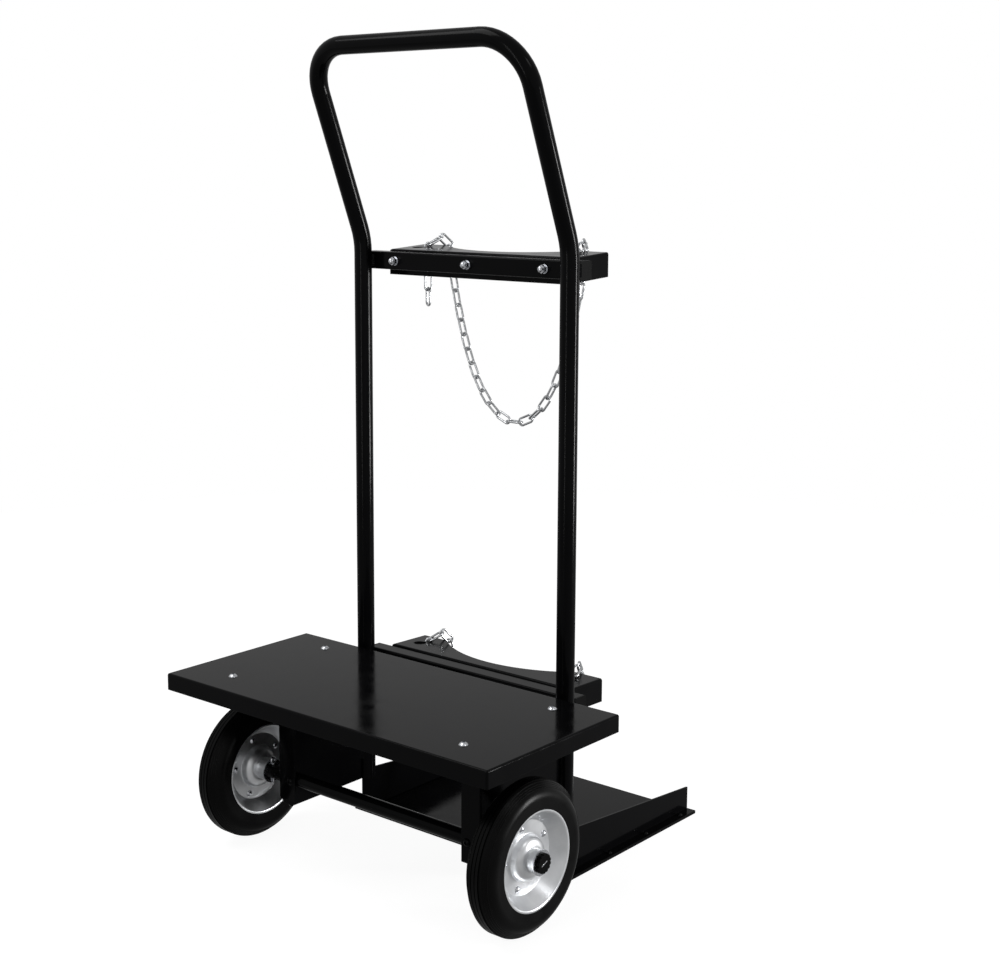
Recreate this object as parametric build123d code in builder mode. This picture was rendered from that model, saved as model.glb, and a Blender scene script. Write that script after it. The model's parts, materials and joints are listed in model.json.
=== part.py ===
from build123d import *
import os
from math import cos, hypot, radians, sin, sqrt, tan

# Two-wheeled welding trolley with a tray for the welding machine and a base for a gas cylinder.
# Millimetres. +X runs along the axle, +Y towards the gas cylinder, +Z up. The origin is on the
# floor, under the middle of the overall box.

# Frame tube: one bent tube makes both uprights, the leaning handle legs and the grip bar.
tube_diameter = 25.0
tube_wall = 2.0
upright_spacing = 370.0
tube_foot_height = 52.0
shoulder_height = 850.0
grip_height = 1110.0
lean_angle = 21.6
shoulder_radius = 100.0
handle_corner_radius = 65.0

# Square cross bars, welded to the front of the uprights.
bar_side = 25.0
bar_wall = 2.0
bar_corner_radius = 3.0
bar_overhang = 5.0
upper_bar_height = 820.5
lower_bar_height = 236.0
plug_head = 2.0
plug_core_length = 14.0

# Saddles: folded sheet with a concave front for the gas cylinder.
saddle_sheet = 2.5
saddle_width = 336.0
saddle_depth = 69.5
saddle_back_drop = 36.0
saddle_end_drop = 33.0
saddle_bend = 3.2
saddle_tip_radius = 3.0
saddle_arc_radius = 183.0
saddle_arc_inset = 23.5
saddle_top_over_bolt = 15.0
# The upper saddle's deck is tipped up towards its horns, the lower one's droops slightly.
upper_saddle_tilt = 4.0
lower_saddle_tilt = -1.5
keyhole_diameter = 18.0

# Bolts that hold the saddles to the bars: dome nuts to the rear, heads inside the saddles.
bolt_diameter = 6.0
bolt_inset = 34.0
bolt_head_flats = 10.0
bolt_head_height = 4.0
nut_hex_height = 5.5
nut_dome_radius = 4.6
nut_dome_base = 1.0
washer_diameter = 12.6
washer_thickness = 1.6

# Tray: an upside-down folded pan, screwed to the top flanges of the side plates.
tray_length = 580.0
tray_top_height = 258.0
tray_sheet = 2.0
tray_flange = 23.3
tray_bend = 1.0
tray_front_gap = 21.0
tray_rear_reach = 285.0
tray_screw_offset = 25.0
tray_screw_front_inset = 39.0
tray_screw_rear_inset = 50.0
screw_diameter = 6.0
screw_head_diameter = 12.0
screw_head_height = 3.6
screw_socket_flats = 4.0
screw_socket_depth = 2.0
screw_tail = 9.0
screw_nut_flats = 10.0
screw_nut_height = 5.0

# Side plates: a folded cheek under each upright. It carries the axle, the tray and the base.
plate_sheet = 2.5
plate_bottom_height = 52.0
plate_rear_reach = 175.0
plate_corner_cut = 20.0
plate_rear_flange = 32.0
plate_relief = 6.0
plate_flange_top = 185.0
plate_arm_reach = 250.0
plate_arm_depth = 34.0
plate_top_flange = 51.0
wall_rear_height = 63.0
wall_front_height = 37.5
wall_flange = 16.0
tray_clearance = 5.0
top_flange_setback = 14.0

# Base plate under the gas cylinder.
base_sheet = 2.0
base_front_reach = 303.0
base_rear_reach = 10.0
rivet_diameter = 5.0
rivet_head_diameter = 9.0
rivet_head_height = 2.6
rivet_first = 95.0
rivet_last_inset = 31.0
rivet_count = 3

# Axle and what holds the wheels on it.
axle_diameter = 20.0
axle_to_flange_gap = 0.5
axle_bolt_inset = 20.0
axle_bolt_depth = 12.0
pin_diameter = 3.2
pin_eye_radius = 3.2
thrust_washer_diameter = 33.5
thrust_washer_thickness = 1.5
cap_diameter = 25.6
cap_height = 5.0
cap_grip_depth = 3.0
cap_slot_width = 2.2
cap_slot_depth = 1.2
cap_slot_turn = 66.0
cap_notch_count = 14
cap_notch_diameter = 2.4

# Wheels: solid rubber tyre on a riveted two-piece pressed rim.
wheel_diameter = 200.0
wheel_offset = 62.7
tyre_width = 44.0
crown_half_width = 8.0
shoulder_half_width = 17.0
shoulder_drop = 9.0
sidewall_drop = 22.0
groove_pitch = 5.5
groove_width = 1.3
groove_depth = 2.2
groove_count = 4
rim_sheet = 2.0
rim_lip_radius = 65.0
rim_lip_offset = 21.0
rim_lip_width = 3.0
rim_disc_radius = 48.0
rim_dome_radius = 30.5
rim_dome_rise = 13.0
rim_shoulder_radius = 27.0
rim_shoulder_share = 0.72
rim_collar_width = 4.5
rim_rivet_circle = 40.5
rim_rivet_count = 5
rim_rivet_start_angle = 30.0
rim_rivet_diameter = 6.0
rim_rivet_head_diameter = 9.2
rim_rivet_head_height = 2.8
hub_diameter = 31.0
hub_wall = 2.0
hub_inner_reach = 32.0
hub_outer_reach = 25.5
bush_length = 22.0

# Chains: welded steel links, held in the keyholes and hanging between the saddle's horns.
link_wire = 3.2
link_inner_length = 22.0
link_outer_width = 13.6
hook_inset = 32.0
hook_turn = 20.0
hook_lift = 24.0
upper_run_links = 27
lower_run_links = 25
left_tail_links = 3
right_tail_links = 2

# Weld beads.
weld_inner = 4.0
weld_leg = 10.0
weld_climb_angle = 43.0
weld_bar_margin = 2.0
stitch_length = 30.0
stitch_leg = 4.0
stitch_climb_angle = 24.0
stitch_margin = 20.0

# Fits.
hole_clearance = 0.3
thread_clearance = 0.05
running_clearance = 0.05
seat_clearance = 0.1
slot_clearance = 0.1
axial_clearance = 0.4
link_slack = 0.3
link_rest_gap = 0.3
link_hang_gap = 1.15
link_hang_shift = 0.8
keyhole_slot_clearance = 0.7
fold_radius = 2.2

# Places that several pieces share.
tube_radius = tube_diameter / 2
upright_x = upright_spacing / 2
upright_y = (tray_rear_reach - base_front_reach) / 2
grip_y = upright_y - (grip_height - shoulder_height) * tan(radians(lean_angle))
bar_length = upright_spacing + 2 * bar_overhang
bar_rear_y = upright_y + tube_radius
bar_y = bar_rear_y + bar_side / 2
saddle_back_y = bar_rear_y + bar_side
saddle_tip_y = saddle_back_y + saddle_depth
deck_height = tray_top_height - tray_sheet
tray_front_y = upright_y - tray_front_gap
tray_rear_y = upright_y - tray_rear_reach
tray_screw_places = [
    (side * (upright_x + tray_screw_offset), y)
    for side in (-1, 1)
    for y in (tray_front_y - tray_screw_front_inset, tray_rear_y + tray_screw_rear_inset)
]
plate_inner_x = upright_x - plate_sheet / 2
plate_outer_x = upright_x + plate_sheet / 2
plate_rear_y = upright_y - plate_rear_reach
notch_height = tray_top_height - tray_flange - tray_clearance
wall_rear_y = upright_y - base_rear_reach
wall_front_y = upright_y + base_front_reach
base_half_width = upright_x + wall_flange
rivet_pitch = (base_front_reach - rivet_last_inset - rivet_first) / (rivet_count - 1)
base_rivet_places = [
    (side * (upright_x + wall_flange / 2), upright_y + rivet_first + rivet_pitch * step)
    for side in (-1, 1)
    for step in range(rivet_count)
]
axle_radius = axle_diameter / 2
axle_height = wheel_diameter / 2
axle_y = plate_rear_y + plate_sheet + axle_to_flange_gap + axle_radius
axle_bolt_x = plate_inner_x - axle_bolt_inset
wheel_x = upright_x + wheel_offset
wheel_radius = wheel_diameter / 2
axle_line = Axis((0, axle_y, axle_height), (1, 0, 0))
outer_washer_u = hub_outer_reach + axial_clearance
cap_u = outer_washer_u + thrust_washer_thickness
axle_end_x = wheel_x + cap_u + cap_grip_depth
inner_washer_u = -hub_inner_reach - axial_clearance - thrust_washer_thickness
pin_x = wheel_x + inner_washer_u - pin_diameter / 2 - seat_clearance
bolt_x = saddle_width / 2 - bolt_inset
bolt_xs = (-bolt_x, 0.0, bolt_x)
bar_heights = (upper_bar_height, lower_bar_height)


def save(builder, name):
    builder.part.label = name
    export_step(builder.part, f"parts/{name}.step")


def wheel_plane(side, flip=1):
    # Local x runs out of the wheel along the axle, local y is the radius.
    outward = side * flip
    return Plane(
        origin=(side * wheel_x, axle_y, axle_height), x_dir=(outward, 0, 0), z_dir=(0, -outward, 0)
    )


# Frame tube, slotted at the feet to straddle the side plates.
with BuildPart() as frame_tube:
    with BuildLine():
        FilletPolyline(
            (-upright_x, upright_y, tube_foot_height),
            (-upright_x, upright_y, shoulder_height),
            (-upright_x, grip_y, grip_height),
            (upright_x, grip_y, grip_height),
            (upright_x, upright_y, shoulder_height),
            (upright_x, upright_y, tube_foot_height),
            radius=(shoulder_radius, handle_corner_radius, handle_corner_radius, shoulder_radius),
        )
    with BuildSketch(Plane.XY.offset(tube_foot_height)):
        with Locations((-upright_x, upright_y)):
            Circle(tube_radius)
            Circle(tube_radius - tube_wall, mode=Mode.SUBTRACT)
    sweep()
    with BuildSketch(Plane.XY.offset(tube_foot_height)):
        with Locations((-upright_x, upright_y), (upright_x, upright_y)):
            Rectangle(plate_sheet + 2 * slot_clearance, 2 * tube_diameter)
    extrude(amount=wall_rear_height - tube_foot_height + slot_clearance, mode=Mode.SUBTRACT)
save(frame_tube, "frame_tube")


# Cross bars, drilled for the saddle bolts.
def cross_bar(height, name):
    with BuildPart() as bar:
        with BuildSketch(Plane.YZ.offset(-bar_length / 2)):
            with Locations((bar_y, height)):
                RectangleRounded(bar_side, bar_side, bar_corner_radius)
                RectangleRounded(
                    bar_side - 2 * bar_wall,
                    bar_side - 2 * bar_wall,
                    bar_corner_radius - bar_wall / 2,
                    mode=Mode.SUBTRACT,
                )
        extrude(amount=bar_length)
        with BuildSketch(Plane.XZ.offset(-saddle_back_y)):
            with Locations(*[(x, height) for x in bolt_xs]):
                Circle(bolt_diameter / 2 + hole_clearance)
        extrude(amount=bar_side, mode=Mode.SUBTRACT)
    save(bar, name)


cross_bar(upper_bar_height, "upper_cross_bar")
cross_bar(lower_bar_height, "lower_cross_bar")

# Push-in plugs in the bars' ends.
plug_core = bar_side - 2 * bar_wall - 2 * seat_clearance
with BuildPart() as bar_plugs:
    for height in bar_heights:
        for side in (-1, 1):
            with BuildSketch(Plane.YZ.offset(side * bar_length / 2)):
                with Locations((bar_y, height)):
                    RectangleRounded(bar_side, bar_side, bar_corner_radius)
            extrude(amount=side * plug_head)
            with BuildSketch(Plane.YZ.offset(side * bar_length / 2)):
                with Locations((bar_y, height)):
                    RectangleRounded(plug_core, plug_core, bar_corner_radius - bar_wall / 2)
            extrude(amount=-side * plug_core_length)
save(bar_plugs, "bar_plugs")

# Weld beads: two per bar and upright, and stitches along each side plate's front edge.
with BuildPart() as frame_welds:
    climb = radians(weld_climb_angle)
    stitch_climb = radians(stitch_climb_angle)
    stitch_starts = (wall_rear_height + stitch_margin, notch_height - stitch_margin - stitch_length)
    for upright in (-upright_x, upright_x):
        for side in (-1, 1):
            for height in bar_heights:
                bead_length = bar_side - 2 * bar_corner_radius - weld_bar_margin
                with BuildSketch(Plane.XY.offset(height - bead_length / 2)):
                    with BuildLine():
                        Polyline(
                            (upright + side * weld_inner, bar_rear_y),
                            (upright + side * weld_leg, bar_rear_y),
                            (
                                upright + side * tube_radius * sin(climb),
                                upright_y + tube_radius * cos(climb),
                            ),
                            close=True,
                        )
                    make_face()
                    with Locations((upright, upright_y)):
                        Circle(tube_radius, mode=Mode.SUBTRACT)
                extrude(amount=bead_length)
            for height in stitch_starts:
                with BuildSketch(Plane.XY.offset(height)):
                    with BuildLine():
                        Polyline(
                            (upright + side * plate_sheet / 2, upright_y - tube_radius - stitch_leg),
                            (upright + side * plate_sheet / 2, upright_y - tube_radius * cos(stitch_climb)),
                            (
                                upright + side * tube_radius * sin(stitch_climb),
                                upright_y - tube_radius * cos(stitch_climb),
                            ),
                            close=True,
                        )
                    make_face()
                    with Locations((upright, upright_y)):
                        Circle(tube_radius, mode=Mode.SUBTRACT)
                extrude(amount=stitch_length)
save(frame_welds, "frame_welds")

# Chain link, lying along X with its width along Y.
link_bend = (link_outer_width - link_wire) / 2
link_reach = link_inner_length + link_wire
link_straight = link_reach - 2 * link_bend
link_step = link_wire + link_slack
with BuildPart() as link:
    with BuildLine():
        lower_leg = Line((-link_straight / 2, -link_bend), (link_straight / 2, -link_bend))
        right_end = CenterArc((link_straight / 2, 0), link_bend, -90, 180)
        upper_leg = Line((link_straight / 2, link_bend), (-link_straight / 2, link_bend))
        left_end = CenterArc((-link_straight / 2, 0), link_bend, 90, 180)
    with BuildSketch(Plane(origin=lower_leg @ 0, z_dir=lower_leg % 0)):
        Circle(link_wire / 2)
    sweep()

# Where the chain leaves a horn: a tilted link lies over the keyhole's slot, the next one leans
# on the horn's tip, and the hanging run starts in that one's lower end.
turn = radians(hook_turn)
lift = radians(hook_lift)
up = Vector(0, 0, 1)
lean_rest = sqrt(2) * (link_bend + link_wire / 2 + link_rest_gap)
tilted_height = link_wire / 2 + seat_clearance
hook_setback = tilted_height + link_reach * (sin(lift) + cos(lift)) - lean_rest
hook_x = saddle_width / 2 - hook_inset
hook_y = saddle_tip_y - hook_setback * cos(turn)


def link_place(start, end, normal):
    return Plane(origin=(start + end) * 0.5, x_dir=end - start, z_dir=normal).location


def horn_links(side, bar_height, tilt, tail_links):
    inward = Vector(-side * sin(turn), cos(turn), 0)
    across = inward.cross(up)
    tipped_across = across.rotate(Axis.X, tilt)
    places = []
    # The tilted link, from the slot towards the tip.
    deck_at_hook = bar_height + saddle_top_over_bolt + (hook_y - saddle_back_y) * tan(radians(tilt))
    seat = Vector(side * hook_x, hook_y, deck_at_hook + tilted_height)
    rising = (inward * cos(lift) + up * sin(lift)).rotate(Axis.X, tilt)
    crest = seat + rising * link_reach
    places.append(link_place(seat, crest, rising.cross(tipped_across)))
    # The link that leans on the tip's edge.
    falling = (inward - up).normalized().rotate(Axis.X, tilt)
    lean_start = crest - falling * link_step
    lean_end = lean_start + falling * link_reach
    places.append(link_place(lean_start, lean_end, tipped_across))
    # The link through the slot, and the tail under it.
    top = seat + up * link_step
    for step in range(tail_links + 1):
        bottom = top - up * link_reach
        places.append(link_place(top, bottom, across if step % 2 == 0 else inward))
        top = bottom + up * link_step
    hang = lean_end - falling * link_bend - up * (link_bend - link_wire - link_hang_gap)
    return places, hang + Vector(side * link_hang_shift, 0, 0)


def run_width(tension, count):
    # Width of a hanging run of links whose slope grows by 1 / tension from one link to the next.
    half = count // 2
    pitch = link_reach - link_step
    flat = sum(tension / hypot(tension, step) for step in range(-half, half + 1))
    return pitch * flat + link_step * tension / hypot(tension, half)


def run_links(left_hang, right_hang, count):
    half = count // 2
    low, high = 0.01, 100.0
    for _ in range(60):
        tension = (low + high) / 2
        if run_width(tension, count) < right_hang.X - left_hang.X:
            low = tension
        else:
            high = tension
    places = []
    joint = left_hang + Vector(tension, 0, -half).normalized() * (link_step / 2)
    for step in range(-half, half + 1):
        along = Vector(tension, 0, step).normalized()
        start = joint - along * (link_step / 2)
        end = start + along * link_reach
        sideways = Vector(0, 1, 0)
        in_run_plane = (step + half) % 2 == 0
        places.append(link_place(start, end, sideways if in_run_plane else along.cross(sideways)))
        joint = end - along * (link_step / 2)
    return places


def chain(bar_height, tilt, count, name):
    left_places, left_hang = horn_links(-1, bar_height, tilt, left_tail_links)
    right_places, right_hang = horn_links(1, bar_height, tilt, right_tail_links)
    with BuildPart() as ends:
        with Locations(*left_places, *right_places):
            add(link.part)
    save(ends, f"{name}_chain_ends")
    with BuildPart() as run:
        with Locations(*run_links(left_hang, right_hang, count)):
            add(link.part)
    save(run, f"{name}_chain_run")
    print(f"{name} chain swings about X through y {left_hang.Y:.3f}, z {left_hang.Z:.3f}")


chain(upper_bar_height, upper_saddle_tilt, upper_run_links, "upper")
chain(lower_bar_height, lower_saddle_tilt, lower_run_links, "lower")


# Saddles, with a keyhole in each horn that lets the chain in and then holds it.
def saddle_block(half_width, back_y, front_y, top, slope, bottom, bend):
    # A block under the sloping deck, its back and end edges rounded as the sheet is bent.
    with BuildPart() as block:
        with BuildSketch(Plane.YZ.offset(-half_width)):
            with BuildLine():
                Polyline(
                    (back_y, top + (back_y - saddle_back_y) * slope),
                    (front_y, top + (front_y - saddle_back_y) * slope),
                    (front_y, bottom + (front_y - saddle_back_y) * slope),
                    (back_y, bottom + (back_y - saddle_back_y) * slope),
                    close=True,
                )
            make_face()
        extrude(amount=2 * half_width)
        deck = block.faces().sort_by(Axis.Z)[-1]
        fillet(deck.edges().sort_by(Axis.Y)[:-1], radius=bend)
    return block.part


def saddle(bar_height, tilt, name):
    top = bar_height + saddle_top_over_bolt
    slope = tan(radians(tilt))
    half_width = saddle_width / 2
    slot_width = link_wire + 2 * keyhole_slot_clearance
    slot_reach = link_outer_width / 2 + keyhole_slot_clearance
    hole_setback = link_outer_width / 2 + keyhole_diameter / 2
    with BuildPart() as sheet:
        add(
            saddle_block(
                half_width, saddle_back_y, saddle_tip_y, top, slope, top - saddle_end_drop, saddle_bend
            )
        )
        add(
            saddle_block(
                half_width - saddle_sheet,
                saddle_back_y + saddle_sheet,
                saddle_tip_y + saddle_depth,
                top - saddle_sheet,
                slope,
                top - saddle_depth,
                saddle_bend - saddle_sheet,
            ),
            mode=Mode.SUBTRACT,
        )
        with BuildSketch(Plane.XY.offset(top - saddle_back_drop)):
            with Locations((0, saddle_back_y + saddle_sheet / 2)):
                Rectangle(saddle_width, saddle_sheet)
        extrude(amount=saddle_back_drop - saddle_end_drop + saddle_sheet)
        with BuildSketch(Plane.XY.offset(top + saddle_depth)):
            with Locations((0, saddle_back_y + saddle_arc_inset + saddle_arc_radius)):
                Circle(saddle_arc_radius)
            for side in (-1, 1):
                with Locations(Location((side * hook_x, hook_y), side * hook_turn)):
                    with Locations((0, -hole_setback)):
                        Circle(keyhole_diameter / 2)
                    with Locations((0, (slot_reach - hole_setback) / 2)):
                        Rectangle(slot_width, slot_reach + hole_setback)
        extrude(amount=-2 * saddle_depth, mode=Mode.SUBTRACT)
        fronts = sheet.edges().filter_by(Axis.Z).group_by(Axis.Y)[-1].sort_by(Axis.X)
        tips = [edge for edge in fronts if abs(edge.center().X) < half_width - 2 * saddle_sheet]
        fillet(tips, radius=saddle_tip_radius)
        with BuildSketch(Plane.XZ.offset(-saddle_back_y)):
            with Locations(*[(x, bar_height) for x in bolt_xs]):
                Circle(bolt_diameter / 2 + hole_clearance)
        extrude(amount=-saddle_sheet, mode=Mode.SUBTRACT)
    save(sheet, name)


saddle(upper_bar_height, upper_saddle_tilt, "upper_saddle")
saddle(lower_bar_height, lower_saddle_tilt, "lower_saddle")

# Saddle bolts, washers and dome nuts, three to a saddle.
nut_face_y = bar_rear_y - washer_thickness
bolt_places = [(x, height) for height in bar_heights for x in bolt_xs]
head_y = saddle_back_y + saddle_sheet
with BuildPart() as saddle_bolts:
    with BuildSketch(Plane.XZ.offset(-head_y)):
        with Locations(*bolt_places):
            RegularPolygon(bolt_head_flats / 2, 6, major_radius=False)
    extrude(amount=-bolt_head_height)
    with BuildSketch(Plane.XZ.offset(-head_y)):
        with Locations(*bolt_places):
            Circle(bolt_diameter / 2)
    extrude(amount=head_y - nut_face_y + nut_hex_height)
save(saddle_bolts, "saddle_bolts")

with BuildPart() as saddle_washers:
    with BuildSketch(Plane.XZ.offset(-bar_rear_y)):
        with Locations(*bolt_places):
            Circle(washer_diameter / 2)
            Circle(bolt_diameter / 2 + hole_clearance, mode=Mode.SUBTRACT)
    extrude(amount=washer_thickness)
save(saddle_washers, "saddle_washers")

dome_height = nut_hex_height + nut_dome_base
with BuildPart() as dome_nut:
    with BuildSketch():
        RegularPolygon(bolt_head_flats / 2, 6, major_radius=False)
    extrude(amount=nut_hex_height)
    with BuildSketch(Plane.XZ):
        with BuildLine():
            Line((0, 0), (nut_dome_radius, 0))
            Line((nut_dome_radius, 0), (nut_dome_radius, dome_height))
            CenterArc((0, dome_height), nut_dome_radius, 0, 90)
            Line((0, dome_height + nut_dome_radius), (0, 0))
        make_face()
    revolve(axis=Axis.Z)
    with BuildSketch():
        Circle(bolt_diameter / 2 + thread_clearance)
    extrude(amount=nut_hex_height + hole_clearance, mode=Mode.SUBTRACT)

with BuildPart() as saddle_nuts:
    with Locations(*[Plane((x, nut_face_y, z), z_dir=(0, -1, 0)).location for x, z in bolt_places]):
        add(dome_nut.part)
save(saddle_nuts, "saddle_nuts")

# Tray pan, open underneath.
with BuildPart() as tray:
    with BuildSketch(Plane.XY.offset(tray_top_height)):
        with Locations((0, (tray_front_y + tray_rear_y) / 2)):
            Rectangle(tray_length, tray_front_y - tray_rear_y)
    extrude(amount=-tray_flange)
    fillet(tray.edges().filter_by(Axis.Z), radius=tray_sheet + tray_bend)
    fillet(tray.faces().sort_by(Axis.Z)[-1].edges(), radius=tray_sheet + tray_bend)
    offset(amount=-tray_sheet, openings=tray.faces().sort_by(Axis.Z)[0])
    with BuildSketch(Plane.XY.offset(tray_top_height)):
        with Locations(*tray_screw_places):
            Circle(screw_diameter / 2 + hole_clearance)
    extrude(amount=-2 * tray_sheet, mode=Mode.SUBTRACT)
save(tray, "tray")

# Dome-headed screws and rivets stand on z = 0 with the shank downwards. A screw has a hex socket.
def dome_headed(shank_diameter, shank_length, head_diameter, head_height):
    shank = shank_diameter / 2
    head = head_diameter / 2
    head_sphere = (head ** 2 + head_height ** 2) / (2 * head_height)
    with BuildPart() as pin:
        with BuildSketch(Plane.XZ):
            with BuildLine():
                Polyline((0, head_height), (0, -shank_length), (shank, -shank_length), (shank, 0), (head, 0))
                RadiusArc((head, 0), (0, head_height), -head_sphere)
            make_face()
        revolve(axis=Axis.Z)
    return pin.part


def dome_screw(shank_length):
    with BuildPart() as screw:
        add(dome_headed(screw_diameter, shank_length, screw_head_diameter, screw_head_height))
        with BuildSketch(Plane.XY.offset(screw_head_height)):
            RegularPolygon(screw_socket_flats / 2, 6, major_radius=False)
        extrude(amount=-screw_socket_depth, mode=Mode.SUBTRACT)
    return screw.part


tray_screw = dome_screw(tray_sheet + plate_sheet + screw_tail)
with BuildPart() as tray_screws:
    with Locations(*[(x, y, tray_top_height) for x, y in tray_screw_places]):
        add(tray_screw)
save(tray_screws, "tray_screws")

with BuildPart() as tray_nuts:
    with BuildSketch(Plane.XY.offset(deck_height - plate_sheet)):
        with Locations(*tray_screw_places):
            RegularPolygon(screw_nut_flats / 2, 6, major_radius=False)
            Circle(screw_diameter / 2 + thread_clearance, mode=Mode.SUBTRACT)
    extrude(amount=-screw_nut_height)
save(tray_nuts, "tray_nuts")


# Side plates. The web is coped to the tube, drops in front to the wall beside the base, and has
# three folded flanges: inwards at the rear, outwards under the tray, outwards on the base.
tube_rear_y = upright_y - tube_radius
tube_front_y = upright_y + tube_radius
notch_y = tray_front_y - tray_sheet - tray_clearance
top_flange_front_y = tray_front_y - top_flange_setback
arm_y = upright_y - plate_arm_reach
web_outline = (
    (plate_rear_y + plate_corner_cut, plate_bottom_height),
    (wall_rear_y, plate_bottom_height),
    (wall_rear_y, base_sheet),
    (wall_front_y, base_sheet),
    (wall_front_y, wall_front_height),
    (tube_front_y, wall_rear_height),
    (tube_rear_y, wall_rear_height),
    (tube_rear_y, notch_height),
    (notch_y, notch_height),
    (notch_y, deck_height - plate_relief),
    (top_flange_front_y, deck_height - plate_relief),
    (top_flange_front_y, deck_height),
    (arm_y, deck_height),
    (arm_y, deck_height - plate_arm_depth),
    (plate_rear_y, plate_flange_top + plate_relief),
    (plate_rear_y + plate_relief, plate_flange_top + plate_relief),
    (plate_rear_y + plate_relief, plate_flange_top),
    (plate_rear_y, plate_flange_top),
    (plate_rear_y, plate_bottom_height + plate_corner_cut),
)


def side_plate(side, name):
    with BuildPart() as plate:
        with BuildSketch(Plane.YZ.offset(side * upright_x - plate_sheet / 2)):
            with BuildLine():
                Polyline(*web_outline, close=True)
            make_face()
            with Locations((axle_y, axle_height)):
                Circle(axle_radius + hole_clearance, mode=Mode.SUBTRACT)
        extrude(amount=plate_sheet)
        # Flange under the tray.
        top_flange_length = top_flange_front_y - arm_y
        with BuildSketch(Plane.XY.offset(deck_height)):
            with Locations((side * (plate_inner_x + plate_top_flange / 2), arm_y + top_flange_length / 2)):
                Rectangle(plate_top_flange, top_flange_length)
            with Locations(*[place for place in tray_screw_places if place[0] * side > 0]):
                Circle(screw_diameter / 2 + hole_clearance, mode=Mode.SUBTRACT)
        extrude(amount=-plate_sheet)
        # Flange on the base.
        with BuildSketch(Plane.XY.offset(base_sheet)):
            with Locations((side * (plate_inner_x + base_half_width) / 2, (wall_rear_y + wall_front_y) / 2)):
                Rectangle(base_half_width - plate_inner_x, wall_front_y - wall_rear_y)
            with Locations(*[place for place in base_rivet_places if place[0] * side > 0]):
                Circle(rivet_diameter / 2 + hole_clearance, mode=Mode.SUBTRACT)
        extrude(amount=plate_sheet)
        # Flange behind the axle.
        flange_bottom = plate_bottom_height + plate_corner_cut
        flange_middle = side * (plate_outer_x - plate_rear_flange / 2)
        with BuildSketch(Plane.XZ.offset(-plate_rear_y)):
            with Locations((flange_middle, (plate_flange_top + flange_bottom) / 2)):
                Rectangle(plate_rear_flange, plate_flange_top - flange_bottom)
            with Locations((side * axle_bolt_x, axle_height)):
                Circle(screw_diameter / 2 + hole_clearance, mode=Mode.SUBTRACT)
        extrude(amount=-plate_sheet)
        # Round the outside of each fold.
        folds = (
            (Axis.Y, (side * plate_inner_x, (arm_y + top_flange_front_y) / 2, deck_height)),
            (Axis.Y, (side * plate_inner_x, (wall_rear_y + wall_front_y) / 2, base_sheet)),
            (Axis.Z, (side * plate_outer_x, plate_rear_y, (plate_flange_top + flange_bottom) / 2)),
        )
        for direction, middle in folds:
            fillet(plate.edges().filter_by(direction).sort_by_distance(middle)[0], radius=fold_radius)
    save(plate, name)


side_plate(-1, "left_side_plate")
side_plate(1, "right_side_plate")

# Base plate and its rivets.
with BuildPart() as base_plate:
    with BuildSketch():
        with Locations((0, (wall_rear_y + wall_front_y) / 2)):
            Rectangle(2 * base_half_width, wall_front_y - wall_rear_y)
        with Locations(*base_rivet_places):
            Circle(rivet_diameter / 2 + hole_clearance, mode=Mode.SUBTRACT)
    extrude(amount=base_sheet)
save(base_plate, "base_plate")

rivet_length = base_sheet + plate_sheet - seat_clearance
base_rivet = dome_headed(rivet_diameter, rivet_length, rivet_head_diameter, rivet_head_height)
with BuildPart() as base_rivets:
    with Locations(*[(x, y, base_sheet + plate_sheet) for x, y in base_rivet_places]):
        add(base_rivet)
save(base_rivets, "base_rivets")

# Axle, drilled for the split pins and tapped for the screws through the rear flanges.
with BuildPart() as axle:
    with BuildSketch(Plane.YZ.offset(-axle_end_x)):
        with Locations((axle_y, axle_height)):
            Circle(axle_radius)
    extrude(amount=2 * axle_end_x)
    chamfer(axle.edges().filter_by(GeomType.CIRCLE), length=cap_grip_depth / 3)
    with BuildSketch(Plane.XY.offset(axle_height)):
        with Locations((-pin_x, axle_y), (pin_x, axle_y)):
            Circle(pin_diameter / 2 + running_clearance)
    extrude(amount=axle_diameter, both=True, mode=Mode.SUBTRACT)
    with BuildSketch(Plane.XZ.offset(-plate_rear_y)):
        with Locations((-axle_bolt_x, axle_height), (axle_bolt_x, axle_height)):
            Circle(screw_diameter / 2 + thread_clearance)
    extrude(
        amount=-(plate_sheet + axle_to_flange_gap + axle_bolt_depth + hole_clearance), mode=Mode.SUBTRACT
    )
save(axle, "axle")

axle_screw = dome_screw(plate_sheet + axle_to_flange_gap + axle_bolt_depth)
with BuildPart() as axle_bolts:
    with Locations(
        *[
            Plane((side * axle_bolt_x, plate_rear_y, axle_height), z_dir=(0, -1, 0)).location
            for side in (-1, 1)
        ]
    ):
        add(axle_screw)
save(axle_bolts, "axle_bolts")

# Split pins: an eye above the axle and a shank right through it.
with BuildPart() as axle_pins:
    for side in (-1, 1):
        shank_bottom = axle_height - axle_radius - 2 * pin_diameter
        with BuildSketch(Plane.XY.offset(shank_bottom)):
            with Locations((side * pin_x, axle_y)):
                Circle(pin_diameter / 2)
        extrude(amount=axle_diameter + 3 * pin_diameter)
        eye_height = axle_height + axle_radius + pin_diameter + pin_eye_radius
        with Locations(Location((side * pin_x, axle_y, eye_height), (0, 90, 0))):
            Torus(pin_eye_radius, pin_diameter / 2)
save(axle_pins, "axle_pins")


# Thrust washers and end caps on the axle.
def thrust_washers(washer_u, name):
    with BuildPart() as washers:
        for side in (-1, 1):
            with BuildSketch(Plane.YZ.offset(side * (wheel_x + washer_u))):
                with Locations((axle_y, axle_height)):
                    Circle(thrust_washer_diameter / 2)
                    Circle(axle_radius + running_clearance, mode=Mode.SUBTRACT)
            extrude(amount=side * thrust_washer_thickness)
    save(washers, name)


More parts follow.
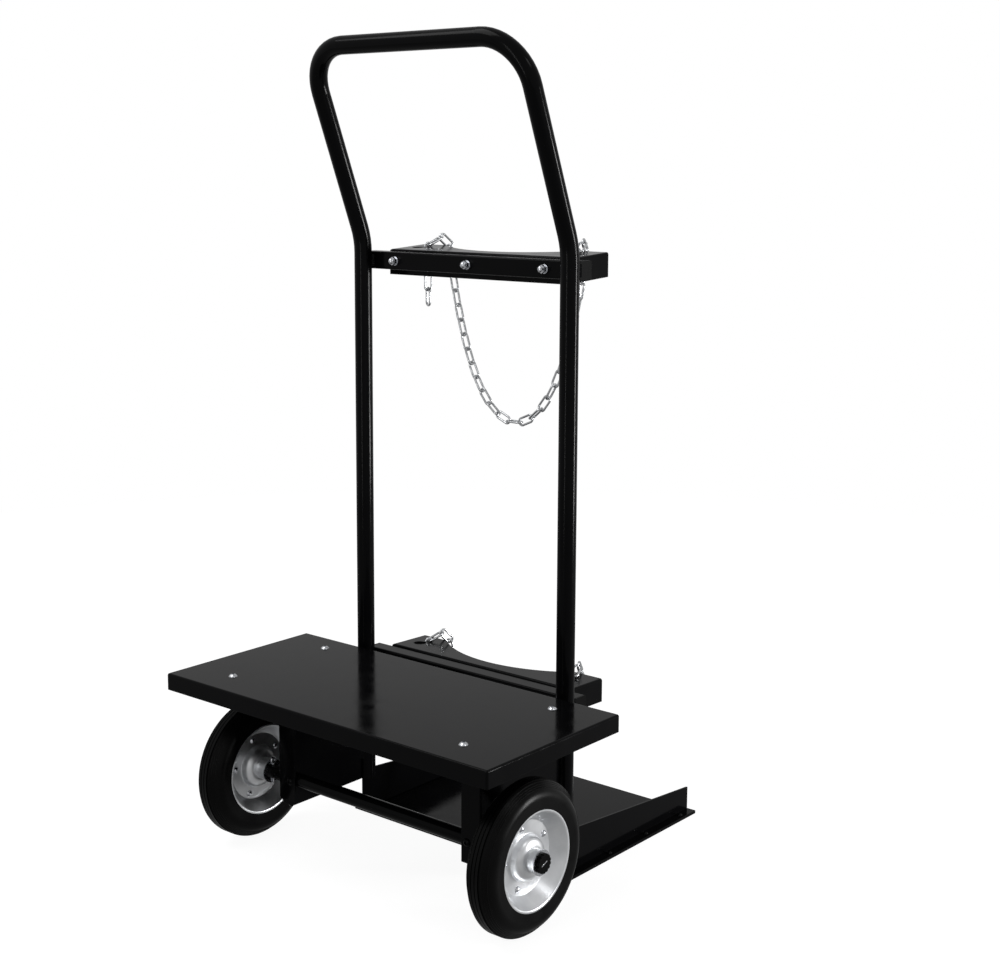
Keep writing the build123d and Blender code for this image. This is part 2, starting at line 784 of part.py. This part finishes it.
thrust_washers(inner_washer_u, "inner_washers")
thrust_washers(outer_washer_u, "outer_washers")

with BuildPart() as hub_cap:
    with BuildSketch():
        Circle(cap_diameter / 2)
        with PolarLocations(cap_diameter / 2, cap_notch_count):
            Circle(cap_notch_diameter / 2, mode=Mode.SUBTRACT)
    extrude(amount=cap_height)
    fillet(hub_cap.faces().sort_by(Axis.Z)[-1].edges(), radius=cap_slot_depth / 2)
    with BuildSketch(Plane.XY.offset(cap_height)):
        Rectangle(cap_slot_width, cap_diameter / 2, rotation=-cap_slot_turn)
    extrude(amount=-cap_slot_depth, mode=Mode.SUBTRACT)
    with BuildSketch():
        Circle(axle_radius + running_clearance)
    extrude(amount=cap_grip_depth + seat_clearance, mode=Mode.SUBTRACT)

with BuildPart() as hub_caps:
    with Locations(
        *[
            Plane((side * (wheel_x + cap_u), axle_y, axle_height), x_dir=(0, side, 0), z_dir=(side, 0, 0)).location
            for side in (-1, 1)
        ]
    ):
        add(hub_cap.part)
save(hub_caps, "hub_caps")

# Wheel profiles, drawn with x out along the axle and y as the radius.
hub_radius = hub_diameter / 2
rim_visible_side = (
    (rim_sheet + rim_dome_rise, hub_radius + seat_clearance),
    (rim_sheet + rim_dome_rise, hub_radius + rim_collar_width),
    (rim_sheet + rim_shoulder_share * rim_dome_rise, rim_shoulder_radius),
    (rim_sheet, rim_dome_radius),
    (rim_sheet, rim_disc_radius),
    (rim_lip_offset, rim_lip_radius - rim_lip_width),
    (rim_lip_offset, rim_lip_radius),
)
rim_bends = (5 * rim_sheet, 5 * rim_sheet, 0.5 * rim_sheet, 0.5 * rim_sheet, 1.5 * rim_sheet)
dish_run = rim_lip_offset - rim_sheet
dish_rise = rim_lip_radius - rim_lip_width - rim_disc_radius
dish_length = hypot(dish_run, dish_rise)
dish_slope = dish_rise / dish_run
seat_thickness = rim_sheet + seat_clearance
# Radius where the rubber's seat, parallel to the dish, meets the wheel's middle plane.
seat_middle_radius = rim_disc_radius - rim_sheet * dish_slope + seat_thickness * dish_length / dish_run
seat_edge_u = rim_lip_offset - rim_sheet - seat_clearance
seat_edge_radius = seat_middle_radius + seat_edge_u * dish_slope
bead_radius = rim_lip_radius + seat_clearance
groove_places = [groove_pitch * (step - (groove_count - 1) / 2) for step in range(groove_count)]


def wheel(side, name):
    with BuildPart() as tyre:
        with BuildSketch(wheel_plane(side)):
            with BuildLine():
                FilletPolyline(
                    (0, seat_middle_radius),
                    (seat_edge_u, seat_edge_radius),
                    (seat_edge_u, bead_radius),
                    (rim_lip_offset, bead_radius),
                    radius=(rim_sheet, 0),
                )
                wall = Line((rim_lip_offset, bead_radius), (tyre_width / 2, wheel_radius - sidewall_drop))
                flank = TangentArc(
                    wall @ 1, (shoulder_half_width, wheel_radius - shoulder_drop), tangent=wall % 1
                )
                crown = TangentArc(flank @ 1, (crown_half_width, wheel_radius), tangent=flank % 1)
                Line(crown @ 1, (0, wheel_radius))
                mirror(about=Plane.YZ)
            make_face()
            with Locations(*[(u, wheel_radius) for u in groove_places]):
                Rectangle(groove_width, 2 * groove_depth, mode=Mode.SUBTRACT)
        revolve(axis=axle_line)
    save(tyre, f"{name}_tyre")

    for flip, half in ((1, "outer"), (-1, "inner")):
        with BuildPart() as rim:
            with BuildSketch(wheel_plane(side, flip)):
                with BuildLine():
                    FilletPolyline(*rim_visible_side, radius=rim_bends)
                    offset(amount=rim_sheet, side=Side.LEFT)
                make_face()
            revolve(axis=axle_line)
            with BuildSketch(Plane.YZ.offset(side * wheel_x)):
                with Locations((axle_y, axle_height)):
                    with PolarLocations(rim_rivet_circle, rim_rivet_count, rim_rivet_start_angle):
                        Circle(rim_rivet_diameter / 2 + thread_clearance)
            extrude(amount=2 * rim_sheet, both=True, mode=Mode.SUBTRACT)
        save(rim, f"{name}_rim_{half}")

    with BuildPart() as rivet:
        with Locations((0, 0, rim_sheet)):
            add(
                dome_headed(
                    rim_rivet_diameter, rim_sheet, rim_rivet_head_diameter, rim_rivet_head_height
                )
            )
        mirror(about=Plane.XY)
    rivet_plane = Plane((side * wheel_x, axle_y, axle_height), x_dir=(0, 1, 0), z_dir=(1, 0, 0))
    with BuildPart(rivet_plane) as rivets:
        with PolarLocations(rim_rivet_circle, rim_rivet_count, rim_rivet_start_angle):
            add(rivet.part)
    save(rivets, f"{name}_rim_rivets")

    with BuildPart() as hub:
        with BuildSketch(Plane.YZ.offset(side * (wheel_x - hub_inner_reach))):
            with Locations((axle_y, axle_height)):
                Circle(hub_radius)
                Circle(hub_radius - hub_wall, mode=Mode.SUBTRACT)
        extrude(amount=side * (hub_inner_reach + hub_outer_reach))
    save(hub, f"{name}_hub")

    with BuildPart() as bushes:
        for end in (-hub_inner_reach, hub_outer_reach - bush_length):
            with BuildSketch(Plane.YZ.offset(side * (wheel_x + end))):
                with Locations((axle_y, axle_height)):
                    Circle(hub_radius - hub_wall - thread_clearance)
                    Circle(axle_radius + running_clearance, mode=Mode.SUBTRACT)
            extrude(amount=side * bush_length)
    save(bushes, f"{name}_bushes")


wheel(-1, "left")
wheel(1, "right")
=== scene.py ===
import json
from math import cos, pi, radians, sin

import bmesh
import bpy
from mathutils import Matrix, Vector
from mathutils.bvhtree import BVHTree


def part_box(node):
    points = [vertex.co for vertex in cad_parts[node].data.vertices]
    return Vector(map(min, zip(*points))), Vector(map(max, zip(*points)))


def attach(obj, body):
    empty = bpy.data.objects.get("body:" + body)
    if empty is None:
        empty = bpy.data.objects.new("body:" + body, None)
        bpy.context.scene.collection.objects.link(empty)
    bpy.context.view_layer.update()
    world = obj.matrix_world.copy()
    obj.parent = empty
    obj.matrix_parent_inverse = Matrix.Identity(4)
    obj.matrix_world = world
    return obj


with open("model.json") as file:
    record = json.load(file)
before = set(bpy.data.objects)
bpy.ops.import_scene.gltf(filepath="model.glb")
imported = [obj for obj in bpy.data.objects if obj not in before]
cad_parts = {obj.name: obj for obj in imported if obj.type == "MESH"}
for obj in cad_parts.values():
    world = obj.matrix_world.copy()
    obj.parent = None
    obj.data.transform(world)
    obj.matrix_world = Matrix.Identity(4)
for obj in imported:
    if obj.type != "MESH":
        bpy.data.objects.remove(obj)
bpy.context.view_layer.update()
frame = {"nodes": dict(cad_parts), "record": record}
nodes = frame["nodes"]
MM = 0.001

# Camera, fitted to the trolley's edges in a picture 1000 pixels wide.
PICTURE_WIDTH = 1000
PICTURE_HEIGHT = 960
FOCAL_PIXELS = 1629.784
OPTICAL_CENTRE = (519.154, 422.3)
CAMERA_PLACE = (1.456107, -1.675407, 0.944911)
CAMERA_HEADING = 39.077
CAMERA_PITCH = -8.714
CAMERA_ROLL = 0.378
SENSOR_WIDTH = 36.0


def linear(hex_colour):
    # sRGB hex to the linear colour that a shader takes.
    channels = [int(hex_colour[i:i + 2], 16) / 255 for i in (1, 3, 5)]
    return (*[c / 12.92 if c <= 0.04045 else ((c + 0.055) / 1.055) ** 2.4 for c in channels], 1.0)


def per_mm(size):
    # Scale of a pattern whose features are this many millimetres wide.
    return 1 / (size * MM)


def add_node(tree, kind, inputs=(), **settings):
    # One node with its settings and links. An input is a plain value or another node's output.
    new = tree.nodes.new("ShaderNode" + kind)
    for name, value in settings.items():
        setattr(new, name, value)
    for name, value in dict(inputs).items():
        if isinstance(value, bpy.types.NodeSocket):
            tree.links.new(value, new.inputs[name])
        else:
            new.inputs[name].default_value = value
    return new


def start_material(name):
    # A material with an empty tree, and the place of each point in the trolley's own frame.
    material = bpy.data.materials.new(name)
    material.use_nodes = True
    tree = material.node_tree
    tree.nodes.clear()
    return material, tree, add_node(tree, "TexCoord").outputs["Object"]


# A wave pattern's period at a scale of 1.
WAVE = pi / 10
# Gloss of the black coat, the black plastic and the rubber. A usual varnish has 0.5.
COAT_GLOSS = 0.055
PLASTIC_GLOSS = 0.04
RUBBER_GLOSS = 0.07
# The Mix node's colour sockets, which share their names with its number sockets.
FACTOR, COLOUR_A, COLOUR_B, MIXED = 0, 6, 7, 2


def powder_coat():
    # Polyester powder, sprayed and baked on steel: deep black with a clear, weak gloss. The film rounds
    # the sheet's edges so that they catch light, a faint orange peel makes reflections waver, and
    # handling leaves soft, slightly duller patches.
    material, tree, place = start_material("black_polyester_powder_baked")
    patches = add_node(tree, "TexNoise", {"Vector": place, "Scale": per_mm(60), "Detail": 4.0})
    colour = add_node(
        tree,
        "Mix",
        {FACTOR: patches.outputs["Fac"], COLOUR_A: linear("#050506"), COLOUR_B: linear("#0b0b0c")},
        data_type="RGBA",
    )
    rubbed = add_node(tree, "TexNoise", {"Vector": place, "Scale": per_mm(25), "Detail": 5.0})
    roughness = add_node(
        tree,
        "MapRange",
        {
            "Value": rubbed.outputs["Fac"],
            "From Min": 0.35,
            "From Max": 0.7,
            "To Min": 0.1,
            "To Max": 0.2,
        },
    )
    peel = add_node(tree, "TexNoise", {"Vector": place, "Scale": per_mm(2.5), "Detail": 1.0})
    edges = add_node(tree, "Bevel", {"Radius": 0.6 * MM}, samples=4)
    relief = add_node(
        tree,
        "Bump",
        {"Height": peel.outputs["Fac"], "Distance": 0.012 * MM, "Normal": edges.outputs["Normal"]},
    )
    shader = add_node(
        tree,
        "BsdfPrincipled",
        {
            "Base Color": colour.outputs[MIXED],
            "Roughness": roughness.outputs["Result"],
            "Normal": relief.outputs["Normal"],
            "IOR": 1.5,
            "Specular IOR Level": COAT_GLOSS,
        },
    )
    add_node(tree, "OutputMaterial", {"Surface": shader.outputs["BSDF"]})
    return material


def coated_weld():
    # The same powder over weld beads: the ripples left up the bead break up its gloss.
    material, tree, place = start_material("black_polyester_powder_on_weld")
    mottle = add_node(tree, "TexNoise", {"Vector": place, "Scale": per_mm(4), "Detail": 3.0})
    colour = add_node(
        tree,
        "Mix",
        {FACTOR: mottle.outputs["Fac"], COLOUR_A: linear("#060607"), COLOUR_B: linear("#101012")},
        data_type="RGBA",
    )
    roughness = add_node(
        tree, "MapRange", {"Value": mottle.outputs["Fac"], "To Min": 0.15, "To Max": 0.4}
    )
    ripples = add_node(
        tree,
        "TexWave",
        {"Vector": place, "Scale": WAVE * per_mm(2.4), "Distortion": 2.0, "Detail": 1.0},
        bands_direction="Z",
    )
    relief = add_node(tree, "Bump", {"Height": ripples.outputs["Fac"], "Distance": 0.35 * MM})
    shader = add_node(
        tree,
        "BsdfPrincipled",
        {
            "Base Color": colour.outputs[MIXED],
            "Roughness": roughness.outputs["Result"],
            "Normal": relief.outputs["Normal"],
            "IOR": 1.5,
            "Specular IOR Level": COAT_GLOSS,
        },
    )
    add_node(tree, "OutputMaterial", {"Surface": shader.outputs["BSDF"]})
    return material


def bright_zinc():
    # Cold-formed steel fasteners, zinc plated bright: silver with a cold cast, and small dull freckles
    # where the passivation took unevenly.
    material, tree, place = start_material("steel_cold_formed_zinc_plated")
    cast = add_node(tree, "TexNoise", {"Vector": place, "Scale": per_mm(3), "Detail": 4.0})
    colour = add_node(
        tree,
        "Mix",
        {FACTOR: cast.outputs["Fac"], COLOUR_A: linear("#a2a5ab"), COLOUR_B: linear("#dcdde0")},
        data_type="RGBA",
    )
    freckles = add_node(tree, "TexNoise", {"Vector": place, "Scale": per_mm(1.5), "Detail": 3.0})
    roughness = add_node(
        tree,
        "MapRange",
        {
            "Value": freckles.outputs["Fac"],
            "From Min": 0.3,
            "From Max": 0.7,
            "To Min": 0.14,
            "To Max": 0.3,
        },
    )
    relief = add_node(tree, "Bump", {"Height": freckles.outputs["Fac"], "Distance": 0.01 * MM})
    shader = add_node(
        tree,
        "BsdfPrincipled",
        {
            "Base Color": colour.outputs[MIXED],
            "Metallic": 1.0,
            "Roughness": roughness.outputs["Result"],
            "Normal": relief.outputs["Normal"],
        },
    )
    add_node(tree, "OutputMaterial", {"Surface": shader.outputs["BSDF"]})
    return material


def chain_zinc():
    # Bent and welded chain wire, zinc plated in a barrel: bright, with random grey patches of painted
    # dark reflection that stand in for the dark surroundings mirrored in the links. The grey patches
    # are rougher too.
    material, tree, place = start_material("steel_chain_wire_barrel_zinc_plated")
    # Random grey patches of painted dark reflection, not wear.
    painted_reflection_patches = add_node(tree, "TexNoise", {"Vector": place, "Scale": per_mm(6), "Detail": 4.0})
    colour = add_node(
        tree,
        "Mix",
        {FACTOR: painted_reflection_patches.outputs["Fac"], COLOUR_A: linear("#7e8186"), COLOUR_B: linear("#eeeff0")},
        data_type="RGBA",
    )
    roughness = add_node(
        tree,
        "MapRange",
        {
            "Value": painted_reflection_patches.outputs["Fac"],
            "From Min": 0.3,
            "From Max": 0.7,
            "To Min": 0.26,
            "To Max": 0.1,
        },
    )
    dents = add_node(tree, "TexNoise", {"Vector": place, "Scale": per_mm(1.2), "Detail": 2.0})
    relief = add_node(tree, "Bump", {"Height": dents.outputs["Fac"], "Distance": 0.02 * MM})
    shader = add_node(
        tree,
        "BsdfPrincipled",
        {
            "Base Color": colour.outputs[MIXED],
            "Metallic": 1.0,
            "Roughness": roughness.outputs["Result"],
            "Normal": relief.outputs["Normal"],
        },
    )
    add_node(tree, "OutputMaterial", {"Surface": shader.outputs["BSDF"]})
    return material


def rim_zinc():
    # Pressed steel rim halves, zinc plated: satin silver, clouded, with faint rings round the axle left
    # by the press tool.
    material, tree, place = start_material("steel_pressed_zinc_plated")
    axle_low, axle_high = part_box("axle")
    middle = (axle_low + axle_high) / 2
    round_axle = add_node(tree, "Mapping", {"Vector": place, "Location": -middle})
    rings = add_node(
        tree,
        "TexWave",
        {
            "Vector": round_axle.outputs["Vector"],
            "Scale": WAVE * per_mm(3),
            "Distortion": 1.5,
            "Detail": 2.0,
        },
        wave_type="RINGS",
        rings_direction="X",
    )
    cloud = add_node(tree, "TexNoise", {"Vector": place, "Scale": per_mm(22), "Detail": 5.0})
    colour = add_node(
        tree,
        "Mix",
        {FACTOR: cloud.outputs["Fac"], COLOUR_A: linear("#c2c4c7"), COLOUR_B: linear("#ecedee")},
        data_type="RGBA",
    )
    dulled = add_node(
        tree, "Math", {0: cloud.outputs["Fac"], 1: 0.14, 2: 0.27}, operation="MULTIPLY_ADD"
    )
    roughness = add_node(
        tree, "Math", {0: rings.outputs["Fac"], 1: 0.02, 2: dulled.outputs[0]}, operation="MULTIPLY_ADD"
    )
    relief = add_node(tree, "Bump", {"Height": rings.outputs["Fac"], "Distance": 0.003 * MM})
    shader = add_node(
        tree,
        "BsdfPrincipled",
        {
            "Base Color": colour.outputs[MIXED],
            "Metallic": 1.0,
            "Roughness": roughness.outputs[0],
            "Normal": relief.outputs["Normal"],
        },
    )
    add_node(tree, "OutputMaterial", {"Surface": shader.outputs["BSDF"]})
    return material


def tyre_rubber():
    # Solid rubber, moulded: near black with a low satin sheen, greyer where it blooms, and the mould's
    # fine grain.
    material, tree, place = start_material("black_rubber_moulded")
    bloom = add_node(tree, "TexNoise", {"Vector": place, "Scale": per_mm(30), "Detail": 4.0})
    colour = add_node(
        tree,
        "Mix",
        {FACTOR: bloom.outputs["Fac"], COLOUR_A: linear("#040404"), COLOUR_B: linear("#0a0a0a")},
        data_type="RGBA",
    )
    roughness = add_node(
        tree,
        "MapRange",
        {
            "Value": bloom.outputs["Fac"],
            "From Min": 0.3,
            "From Max": 0.7,
            "To Min": 0.26,
            "To Max": 0.38,
        },
    )
    grain = add_node(tree, "TexNoise", {"Vector": place, "Scale": per_mm(0.9), "Detail": 2.0})
    relief = add_node(tree, "Bump", {"Height": grain.outputs["Fac"], "Distance": 0.02 * MM})
    shader = add_node(
        tree,
        "BsdfPrincipled",
        {
            "Base Color": colour.outputs[MIXED],
            "Roughness": roughness.outputs["Result"],
            "Normal": relief.outputs["Normal"],
            "IOR": 1.52,
            "Specular IOR Level": RUBBER_GLOSS,
        },
    )
    add_node(tree, "OutputMaterial", {"Surface": shader.outputs["BSDF"]})
    return material


def cap_plastic():
    # Polypropylene, moulded black: a dull gloss over the fine grain of a spark-eroded mould.
    material, tree, place = start_material("black_polypropylene_moulded")
    flow = add_node(tree, "TexNoise", {"Vector": place, "Scale": per_mm(8), "Detail": 2.0})
    colour = add_node(
        tree,
        "Mix",
        {FACTOR: flow.outputs["Fac"], COLOUR_A: linear("#050505"), COLOUR_B: linear("#0b0b0b")},
        data_type="RGBA",
    )
    roughness = add_node(
        tree, "MapRange", {"Value": flow.outputs["Fac"], "To Min": 0.35, "To Max": 0.5}
    )
    grain = add_node(tree, "TexNoise", {"Vector": place, "Scale": per_mm(0.7), "Detail": 1.0})
    relief = add_node(tree, "Bump", {"Height": grain.outputs["Fac"], "Distance": 0.015 * MM})
    shader = add_node(
        tree,
        "BsdfPrincipled",
        {
            "Base Color": colour.outputs[MIXED],
            "Roughness": roughness.outputs["Result"],
            "Normal": relief.outputs["Normal"],
            "IOR": 1.49,
            "Specular IOR Level": PLASTIC_GLOSS,
        },
    )
    add_node(tree, "OutputMaterial", {"Surface": shader.outputs["BSDF"]})
    return material


def bush_nylon():
    # Natural nylon, turned: milky white and waxy, with turning marks.
    material, tree, place = start_material("natural_nylon_turned")
    milk = add_node(tree, "TexNoise", {"Vector": place, "Scale": per_mm(5), "Detail": 2.0})
    colour = add_node(
        tree,
        "Mix",
        {FACTOR: milk.outputs["Fac"], COLOUR_A: linear("#d8d4c6"), COLOUR_B: linear("#e6e2d6")},
        data_type="RGBA",
    )
    roughness = add_node(
        tree, "MapRange", {"Value": milk.outputs["Fac"], "To Min": 0.35, "To Max": 0.5}
    )
    marks = add_node(tree, "TexWave", {"Vector": place, "Scale": WAVE * per_mm(1)}, bands_direction="X")
    relief = add_node(tree, "Bump", {"Height": marks.outputs["Fac"], "Distance": 0.02 * MM})
    shader = add_node(
        tree,
        "BsdfPrincipled",
        {
            "Base Color": colour.outputs[MIXED],
            "Roughness": roughness.outputs["Result"],
            "Normal": relief.outputs["Normal"],
            "IOR": 1.53,
        },
    )
    add_node(tree, "OutputMaterial", {"Surface": shader.outputs["BSDF"]})
    return material


FINISHES = {
    "powder_coat": powder_coat(),
    "weld": coated_weld(),
    "zinc": bright_zinc(),
    "chain_zinc": chain_zinc(),
    "rim_zinc": rim_zinc(),
    "rubber": tyre_rubber(),
    "plastic": cap_plastic(),
    "nylon": bush_nylon(),
}


def finish_nodes():
    # Gives each solid of the trolley the finish that the record names for it.
    for row in frame["record"]["subparts"]:
        node = nodes[row["node"]]
        node.data.materials.clear()
        node.data.materials.append(FINISHES[row["material_slot"]])


finish_nodes()


def drawn_piece(name, shape, finish):
    # Makes a drawn shape an object with its finish.
    bmesh.ops.recalc_face_normals(shape, faces=shape.faces)
    mesh = bpy.data.meshes.new(name)
    shape.to_mesh(mesh)
    shape.free()
    mesh.materials.append(FINISHES[finish])
    piece = bpy.data.objects.new(name, mesh)
    bpy.context.scene.collection.objects.link(piece)
    return piece


# Spring blade that shows in the slot of each hub cap, in millimetres. Its turn, in degrees, is up from
# level.
BLADE_LENGTH = 12.0
BLADE_WIDTH = 1.9
BLADE_THICKNESS = 0.9
BLADE_ROUNDING = 0.3
BLADE_ROUNDING_STEPS = 3
BLADE_TURN = 24.0
BLADE_POINTS = 24
SLOT_DEPTH = 1.2


def cap_blade(name, side):
    # Rounded strip, lying on the slot's floor, with the cap's outer face just above it.
    caps_low, caps_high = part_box("hub_caps")
    axle_low, axle_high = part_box("axle")
    outer_face = caps_high.x if side > 0 else caps_low.x
    floor_place = Vector((outer_face - side * SLOT_DEPTH * MM, *((axle_low + axle_high) / 2).yz))
    along = Vector((0, side * cos(radians(BLADE_TURN)), sin(radians(BLADE_TURN))))
    outwards = Vector((side, 0, 0))
    across = outwards.cross(along)
    half_run = (BLADE_LENGTH - BLADE_WIDTH) / 2 * MM
    end_radius = BLADE_WIDTH / 2 * MM
    strip = bmesh.new()
    outline = []
    for point in range(BLADE_POINTS):
        angle = 2 * pi * (point + 0.5) / BLADE_POINTS
        end = half_run if cos(angle) > 0 else -half_run
        offset = along * (end + end_radius * cos(angle)) + across * (end_radius * sin(angle))
        outline.append(strip.verts.new(floor_place + offset))
    face = strip.faces.new(outline)
    raised = bmesh.ops.extrude_face_region(strip, geom=[face])
    top = [item for item in raised["geom"] if isinstance(item, bmesh.types.BMVert)]
    bmesh.ops.translate(strip, verts=top, vec=outwards * BLADE_THICKNESS * MM)
    top_edges = [edge for edge in strip.edges if all(vert in top for vert in edge.verts)]
    bmesh.ops.bevel(
        strip,
        geom=top_edges,
        offset=BLADE_ROUNDING * MM,
        segments=BLADE_ROUNDING_STEPS,
        affect="EDGES",
        profile=0.5,
    )
    blade = drawn_piece(name, strip, "zinc")
    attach(blade, "root")


cap_blade("left_cap_blade", -1)
cap_blade("right_cap_blade", 1)


# Fine moulded ribs round each shoulder of a tyre, in millimetres. Places are out from its middle.
RIB_PLACES = (10.4, 12.6, 14.6, 16.4)
RIB_WIDTH = 1.1
RIB_HEIGHT = 0.6
RIB_SEAT = 0.2
RIB_STEPS = 160
RIB_POINTS = 7


def shoulder_ribs(name, wheel):
    # Rings with a rounded top. Each is sunk a little into the rubber, square to the shoulder there.
    tyre = nodes[wheel + "_tyre"]
    tyre_low, tyre_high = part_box(wheel + "_tyre")
    middle = (tyre_low + tyre_high) / 2
    above = tyre_high.z - middle.z + RIB_WIDTH * MM
    corners = [tyre.matrix_world @ vert.co for vert in tyre.data.vertices]
    rubber = BVHTree.FromPolygons(corners, [tuple(face.vertices) for face in tyre.data.polygons])
    ribs = bmesh.new()
    for reach in [flip * place for flip in (-1, 1) for place in RIB_PLACES]:
        start = middle + Vector((reach * MM, 0, above))
        seat, facing, _, _ = rubber.ray_cast(start, Vector((0, 0, -1)))
        facing = Vector((facing.x, 0, facing.z)).normalized()
        along = Vector((facing.z, 0, -facing.x))
        section = []
        for point in range(RIB_POINTS):
            angle = pi * point / (RIB_POINTS - 1)
            rise = RIB_HEIGHT * sin(angle) - RIB_SEAT
            section.append(seat - middle + (along * cos(angle) * RIB_WIDTH / 2 + facing * rise) * MM)
        rings = []
        for step in range(RIB_STEPS):
            turn = Matrix.Rotation(2 * pi * step / RIB_STEPS, 3, "X")
            rings.append([ribs.verts.new(middle + turn @ offset) for offset in section])
        for step, ring in enumerate(rings):
            following = rings[(step + 1) % RIB_STEPS]
            for point in range(RIB_POINTS):
                after = (point + 1) % RIB_POINTS
                ribs.faces.new((ring[point], ring[after], following[after], following[point]))
    shown = drawn_piece(name, ribs, "rubber")
    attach(shown, wheel + "_wheel")


shoulder_ribs("left_shoulder_ribs", "left")
shoulder_ribs("right_shoulder_ribs", "right")


# Stage: a floor disc and surroundings that the camera sees as white. The glow and the fill are shares
# of white, and the gloss shares are what a reflection gets of the white that the camera sees.
FLOOR_RADIUS = 2.6
FLOOR_SIDES = 96
FLOOR_GLOW = 0.92
FLOOR_GLOSS_SHARE = 0.3
SKY_GLOSS_SHARE = 0.6
SKY_FILL = 0.25


def seen_as_white(tree, gloss_share):
    # 1 for rays from the camera or through glass, and a share of that for reflections.
    light = add_node(tree, "LightPath").outputs
    straight = add_node(
        tree, "Math", {0: light["Is Camera Ray"], 1: light["Is Transmission Ray"]}, operation="MAXIMUM"
    )
    mirrored = add_node(tree, "Math", {0: light["Is Glossy Ray"], 1: gloss_share}, operation="MULTIPLY")
    either = add_node(
        tree, "Math", {0: straight.outputs[0], 1: mirrored.outputs[0]}, operation="MAXIMUM"
    )
    return either.outputs[0]


def floor():
    # Matt paper that keeps the trolley's shadow.
    material, tree, place = start_material("white_paper_floor")
    grain = add_node(tree, "TexNoise", {"Vector": place, "Scale": per_mm(40)})
    colour = add_node(
        tree,
        "Mix",
        {FACTOR: grain.outputs["Fac"], COLOUR_A: linear("#7c7c7c"), COLOUR_B: linear("#808080")},
        data_type="RGBA",
    )
    glow = add_node(
        tree, "Math", {0: seen_as_white(tree, FLOOR_GLOSS_SHARE), 1: FLOOR_GLOW}, operation="MULTIPLY"
    )
    shader = add_node(
        tree,
        "BsdfPrincipled",
        {
            "Base Color": colour.outputs[MIXED],
            "Roughness": 0.9,
            "Specular IOR Level": 0.0,
            "Emission Color": (1, 1, 1, 1),
            "Emission Strength": glow.outputs[0],
        },
    )
    add_node(tree, "OutputMaterial", {"Surface": shader.outputs["BSDF"]})
    bpy.ops.mesh.primitive_circle_add(vertices=FLOOR_SIDES, radius=FLOOR_RADIUS, fill_type="NGON")
    disc = bpy.context.object
    disc.name = "floor"
    disc.data.materials.append(material)


def surroundings():
    # Even fill light all round, white to the camera.
    world = bpy.data.worlds.new("studio")
    bpy.context.scene.world = world
    world.use_nodes = True
    tree = world.node_tree
    tree.nodes.clear()
    level = add_node(
        tree, "Math", {0: seen_as_white(tree, SKY_GLOSS_SHARE), 1: SKY_FILL}, operation="MAXIMUM"
    )
    sky = add_node(tree, "Background", {"Color": (1, 1, 1, 1), "Strength": level.outputs[0]})
    add_node(tree, "OutputWorld", {"Surface": sky.outputs["Background"]})


def lamp(name, place, aim, size, power):
    # A flat panel of light, with its places and sizes in metres and its power in watts.
    light = bpy.data.lights.new(name, "AREA")
    light.shape = "RECTANGLE"
    light.size, light.size_y = size
    light.energy = power
    lamp_object = bpy.data.objects.new(name, light)
    bpy.context.scene.collection.objects.link(lamp_object)
    lamp_object.location = place
    lamp_object.rotation_euler = (Vector(aim) - Vector(place)).to_track_quat("-Z", "Y").to_euler()


floor()
surroundings()
# Light on the grip bar's top and on the heads of bolts and screws, and the shadow on the floor.
lamp("overhead_softbox", place=(-0.9, -1.2, 2.9), aim=(0, 0, 0.3), size=(1.8, 1.8), power=40)
# A bright spot low in the right rim's dish.
lamp("right_softbox", place=(1.4, -0.05, 1.75), aim=(0.25, -0.17, 0.1), size=(0.35, 0.35), power=2)
# The bright line down each tube's right side, and the light on the rims and the right tyre.
lamp("back_strip", place=(2.155, 1.354, 0.42), aim=(0, 0, 0.42), size=(0.3, 0.9), power=43)
# A faint line down the uprights, and glints on the chains.
lamp("rear_strip", place=(0.27, -2.4, 0.8), aim=(0, 0, 0.7), size=(0.12, 1.9), power=8)


def camera():
    # Looks from behind the trolley and from its right, a little lower than the grip bar. It starts
    # out looking straight down, and 90 degrees bring it level.
    data = bpy.data.cameras.new("camera")
    data.sensor_fit = "HORIZONTAL"
    data.sensor_width = SENSOR_WIDTH
    data.lens = SENSOR_WIDTH * FOCAL_PIXELS / PICTURE_WIDTH
    data.shift_x = (PICTURE_WIDTH / 2 - OPTICAL_CENTRE[0]) / PICTURE_WIDTH
    data.shift_y = (OPTICAL_CENTRE[1] - PICTURE_HEIGHT / 2) / PICTURE_WIDTH
    taker = bpy.data.objects.new("camera", data)
    bpy.context.scene.collection.objects.link(taker)
    taker.matrix_world = (
        Matrix.Translation(CAMERA_PLACE)
        @ Matrix.Rotation(radians(CAMERA_HEADING), 4, "Z")
        @ Matrix.Rotation(radians(90 + CAMERA_PITCH), 4, "X")
        @ Matrix.Rotation(radians(CAMERA_ROLL), 4, "Z")
    )
    bpy.context.scene.camera = taker


camera()
bpy.context.scene.view_settings.view_transform = "Standard"
